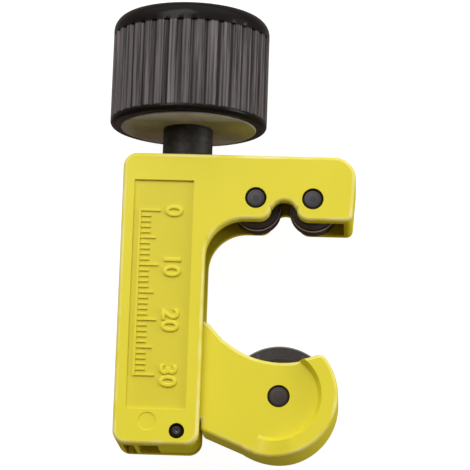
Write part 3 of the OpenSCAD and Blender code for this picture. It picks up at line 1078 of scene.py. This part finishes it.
def make_knob_plastic():
    """Black plastic: glossy bands, painted shade in the valleys, dull ribs with painted highlight
    streaks.
    """
    made, tree, shader = new_material("knob_black_plastic")
    where = node_at(tree, "TexCoord", -1500, 0)
    split = node_at(tree, "SeparateXYZ", -1300, 300)
    low = node_at(
        tree, "MapRange", -1100, 400, From_Min=ribs_from, From_Max=ribs_from + ribs_fade
    )
    high = node_at(tree, "MapRange", -1100, 200, From_Min=ribs_to, From_Max=ribs_to - ribs_fade)
    on_ribs = node_at(tree, "Math", -900, 300, "MULTIPLY")
    lay = node_at(tree, "Mapping", -1300, 0, Scale=(1, 0.02, 1))
    streaks = node_at(tree, "TexNoise", -1100, 0, Scale=2000.0, Detail=3.0, Roughness=0.65)
    streak_range = node_at(tree, "MapRange", -900, 0, From_Min=0.38, From_Max=0.72)
    rib_highlight_streaks = node_at(tree, "Mix", -700, 0, A=rib_dark, B=rib_painted_highlight)
    # Lighter rib edges: a painted highlight.
    rib_edge_highlight = group_at(tree, edge_wear_and_highlight, -600, 0, Edge_colour=rib_edge_painted_highlight, Amount=0.9)
    from_axis = node_at(tree, "VectorMath", -1300, -300, "SUBTRACT")
    from_axis.inputs[1].default_value = screw_axis
    across = node_at(tree, "VectorMath", -1100, -300, "MULTIPLY")
    across.inputs[1].default_value = (1, 0, 1)
    reach = node_at(tree, "VectorMath", -900, -300, "LENGTH")
    # The valleys' floors darkened: painted shade.
    valley_shade = node_at(tree, "MapRange", -700, -300, From_Min=valley_floor, From_Max=valley_top)
    ribs_and_valley_shade = node_at(tree, "Mix", -500, -100, A=valley_painted_shade)
    shell_colour = node_at(tree, "Mix", -500, 0, A=band_black)
    gloss = node_at(tree, "MapRange", -500, -200, To_Min=0.24, To_Max=0.46)
    streak_lift = node_at(tree, "Math", -400, -400, "MULTIPLY")
    bump = node_at(tree, "Bump", -200, -400, Strength=1.0, Distance=0.03 * mm)
    lean = node_at(tree, "SeparateXYZ", -700, -700)
    glaze = node_at(tree, "MapRange", -500, -700, From_Min=-0.7, From_Max=-0.2, To_Max=0.17)
    wire(
        tree,
        (where, "Object", split, "Vector"),
        (split, "Y", low, "Value"),
        (split, "Y", high, "Value"),
        (low, "Result", on_ribs, 0),
        (high, "Result", on_ribs, 1),
        (where, "Object", lay, "Vector"),
        (lay, "Vector", streaks, "Vector"),
        (streaks, "Fac", streak_range, "Value"),
        (streak_range, "Result", rib_highlight_streaks, "Factor"),
        (rib_highlight_streaks, "Result", rib_edge_highlight, "Colour"),
        (where, "Object", from_axis, 0),
        (from_axis, "Vector", across, 0),
        (across, "Vector", reach, 0),
        (reach, "Value", valley_shade, "Value"),
        (valley_shade, "Result", ribs_and_valley_shade, "Factor"),
        (rib_edge_highlight, "Colour", ribs_and_valley_shade, "B"),
        (ribs_and_valley_shade, "Result", shell_colour, "B"),
        (on_ribs, "Value", shell_colour, "Factor"),
        (shell_colour, "Result", shader, "Base Color"),
        (on_ribs, "Value", gloss, "Value"),
        (gloss, "Result", shader, "Roughness"),
        (streaks, "Fac", streak_lift, 0),
        (on_ribs, "Value", streak_lift, 1),
        (streak_lift, "Value", bump, "Height"),
        (bump, "Normal", shader, "Normal"),
        (where, "Normal", lean, "Vector"),
        (lean, "Y", glaze, "Value"),
        (glaze, "Result", shader, "Coat Weight"),
    )
    with_values(shader, {"Coat Roughness": 0.22, "Specular IOR Level": 0.03})
    return made


softened_solid(
    "knob_grip",
    "knob_shell",
    "knob_body",
    make_knob_plastic(),
    radius=0.14 * mm,
    sharp=math.radians(30),
    segments=2,
)

# Knob core: a flanged plug of dark grey plastic, pressed on the screw's spigot. Its disc
# closes the shell from below and stands out of it a little.
core_plastic = finish_of(
    "core_grey_plastic",
    colour=(0.46, 0.45, 0.46, 1),
    second=(0.36, 0.35, 0.36, 1),
    roughness=(0.58, 0.75),
    drift=160.0,
    grain=1600.0,
    edge=(0.2, 0.18, 0.16, 1),
    edge_amount=0.4,
    specular=0.02,
)
softened_solid(
    "knob_core",
    "knob_core_moulded",
    "knob_body",
    core_plastic,
    radius=0.2 * mm,
)

# Stage: a pale floor under the tool, shown brighter than the light that it gives the tool,
# as the photograph's white ground is.
floor_reach = 1.5
floor_shown = (1.0, 1.0, 1.0, 1)
floor_given = (0.10, 0.06, 0.05, 1)
floor_mesh = bpy.data.meshes.new("floor")
sheet = bmesh.new()
bmesh.ops.create_grid(sheet, x_segments=1, y_segments=1, size=floor_reach)
sheet.to_mesh(floor_mesh)
sheet.free()
floor = bpy.data.objects.new("floor", floor_mesh)
bpy.context.scene.collection.objects.link(floor)
pale, pale_tree, pale_shader = new_material("pale_floor")
seen = node_at(pale_tree, "LightPath", -600, -200)
glow = node_at(pale_tree, "Mix", -300, -200, A=floor_given, B=floor_shown)
wire(
    pale_tree,
    (seen, "Is Camera Ray", glow, "Factor"),
    (glow, "Result", pale_shader, "Emission Color"),
)
with_values(
    pale_shader,
    {
        "Base Color": (0.2, 0.2, 0.2, 1),
        "Roughness": 0.9,
        "Specular IOR Level": 0.2,
        "Emission Strength": 0.95,
    },
)
floor_mesh.materials.append(pale)

# Light: a surround that is bright from the knob's side and dim and warm from the foot's, a
# large soft box over the knob's left, a fill from the right and a small one low at the foot.
# The camera itself sees a plain pale backdrop.
bright_way = (0.08, 0.85, 0.35)
dim_tint = (1.0, 0.50, 0.38, 1)
bright_tint = (1.0, 1.0, 1.0, 1)
backdrop_grey = (0.9, 0.9, 0.9, 1)
surround = bpy.data.worlds.new("surround")
surround.use_nodes = True
sky = surround.node_tree
given = sky.nodes["Background"]
way = node_at(sky, "TexCoord", -800, 0)
lean = node_at(sky, "VectorMath", -600, 0, "DOT_PRODUCT")
lean.inputs[1].default_value = bright_way
fade = node_at(sky, "MapRange", -400, 0, From_Min=-0.1, From_Max=0.8, To_Min=0.03, To_Max=1.1)
warmth = node_at(sky, "Mix", -200, 200, A=dim_tint, B=bright_tint)
shown = node_at(sky, "Background", 0, -200, Color=backdrop_grey, Strength=1.0)
looked_at = node_at(sky, "LightPath", 0, 300)
either = node_at(sky, "MixShader", 200, 0)
wire(
    sky,
    (way, "Generated", lean, 0),
    (lean, "Value", fade, "Value"),
    (fade, "Result", given, "Strength"),
    (fade, "Result", warmth, "Factor"),
    (warmth, "Result", given, "Color"),
    (looked_at, "Is Camera Ray", either, "Fac"),
    (given, "Background", either, 1),
    (shown, "Background", either, 2),
    (either, "Shader", sky.nodes["World Output"], "Surface"),
)
bpy.context.scene.world = surround


def soft_box(name, place, aim, size, power):
    """A rectangular area light that faces a point."""
    lamp = bpy.data.lights.new(name, "AREA")
    lamp.shape = "RECTANGLE"
    lamp.size, lamp.size_y = size
    lamp.energy = power
    made = bpy.data.objects.new(name, lamp)
    made.location = place
    made.rotation_euler = (Vector(aim) - Vector(place)).to_track_quat("-Z", "Y").to_euler()
    bpy.context.scene.collection.objects.link(made)


soft_box("key_light", (-0.16, 0.26, 0.47), aim=(0, 0, 0.01), size=(0.42, 0.31), power=1.78)
soft_box("side_fill", (0.6, 0.02, 0.16), aim=(0, 0, 0.015), size=(0.3, 0.3), power=1.6)
soft_box(
    "foot_fill", (-0.02, -0.35, 0.03), aim=(-0.01, -0.04, 0.014), size=(0.1, 0.1), power=0.18
)
bpy.context.scene.view_settings.view_transform = "Standard"

# Camera: a long lens nearly square to the front face, a little below and to the right.
camera_place = (0.02545, -0.11164, 0.53452)
camera_turn = (12.235, 2.278, 1.957)
lens = bpy.data.cameras.new("camera")
lens.lens = 224.4
lens.sensor_width = 36.0
lens.clip_start = 0.01
camera = bpy.data.objects.new("camera", lens)
camera.location = camera_place
camera.rotation_euler = tuple(math.radians(angle) for angle in camera_turn)
bpy.context.scene.collection.objects.link(camera)
bpy.context.scene.camera = camera
